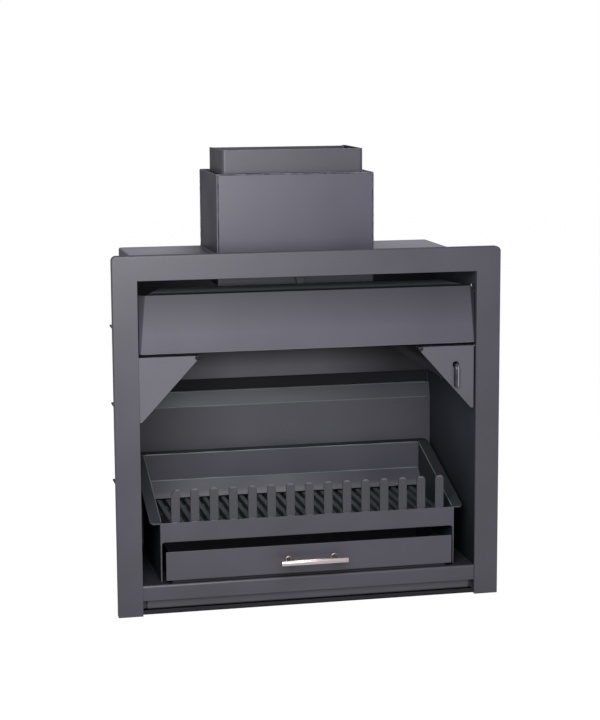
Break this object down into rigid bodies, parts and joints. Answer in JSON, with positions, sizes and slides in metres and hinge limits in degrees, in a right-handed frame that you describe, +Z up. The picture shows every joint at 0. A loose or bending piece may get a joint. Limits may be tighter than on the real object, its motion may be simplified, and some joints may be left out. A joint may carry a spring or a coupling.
{
  "type": "built-in barbecue fireplace",
  "caption": "Built-in sheet-steel barbecue fireplace with a trim frame, hinged smoke flap, toothed fire basket, ash drawer and a rectangular flue with a damper.",
  "frame": {"origin": "bottom centre of the whole object's bounding box, on the floor it stands on", "axes": "+X to the right seen from the front, +Y to the back, +Z up"},
  "size_m": [0.8, 0.394, 0.929],
  "materials": {
    "satin_black_paint": "satin heat-resistant charcoal paint on sheet steel",
    "firebox_paint": "satin heat-resistant paint inside the firebox",
    "grate_black": "matt black heat-resistant paint on bar steel",
    "handle_steel": "brushed stainless steel",
    "bright_steel": "bright zinc-plated steel"
  },
  "bodies": {
    "firebox": {"trim_frame": "satin_black_paint", "body_side_left": "satin_black_paint", "body_side_right": "satin_black_paint", "body_back": "firebox_paint", "body_top": "satin_black_paint", "hearth_plate": "firebox_paint", "base_front_rail": "satin_black_paint", "base_rear_rail": "satin_black_paint", "base_plate": "satin_black_paint", "fire_back": "firebox_paint", "smoke_baffle": "firebox_paint", "gusset_left": "satin_black_paint", "gusset_right": "satin_black_paint", "stop_bolt_left": "bright_steel", "stop_bolt_right": "bright_steel", "wall_lugs_left": "satin_black_paint", "wall_lugs_right": "satin_black_paint", "flue_casing": "satin_black_paint", "flue_collar": "satin_black_paint", "flap_pin_left": "bright_steel", "flap_pin_right": "bright_steel", "lever_bracket": "satin_black_paint"},
    "flap": {"smoke_flap": "satin_black_paint"},
    "damper": {"damper_shaft": "grate_black", "damper_plate": "grate_black", "damper_crank": "grate_black"},
    "lever": {"damper_lever": "bright_steel", "lever_crank": "grate_black"},
    "link": {"damper_link": "grate_black"},
    "basket": {"basket_front": "firebox_paint", "basket_side_left": "firebox_paint", "basket_side_right": "firebox_paint", "basket_back": "firebox_paint", "fence_teeth": "firebox_paint", "grate_bars": "grate_black", "bearer_front": "grate_black", "bearer_rear": "grate_black"},
    "drawer": {"drawer_front": "firebox_paint", "drawer_tray": "grate_black", "handle_bar": "handle_steel", "handle_posts": "handle_steel", "handle_screws": "bright_steel"}
  },
  "joints": [
    {"name": "flap_swing", "type": "hinge", "parent": "firebox", "child": "flap", "pos_m": [0, -0.149, 0.641], "axis": [1, 0, 0], "range_deg": [0, 55]},
    {"name": "damper_turn", "type": "hinge", "parent": "firebox", "child": "damper", "pos_m": [0, 0.0785, 0.685], "axis": [0, 1, 0], "range_deg": [0, 80]},
    {"name": "lever_turn", "type": "hinge", "parent": "firebox", "child": "lever", "pos_m": [0.307, -0.1, 0.49], "axis": [0, 1, 0], "range_deg": [0, 80]},
    {"name": "link_turn", "type": "hinge", "parent": "lever", "child": "link", "pos_m": [0.31395, -0.05, 0.45061], "axis": [0, 1, 0], "range_deg": [-80, 0]},
    {"name": "basket_slide", "type": "slide", "parent": "firebox", "child": "basket", "axis": [0, -1, 0], "range_m": [0, 0.25]},
    {"name": "drawer_slide", "type": "slide", "parent": "basket", "child": "drawer", "axis": [0, -1, 0], "range_m": [0, 0.2]}
  ],
  "couplings": [
    {"joint": "lever_turn", "follows": "damper_turn", "ratio": 1},
    {"joint": "link_turn", "follows": "damper_turn", "ratio": -1}
  ]
}
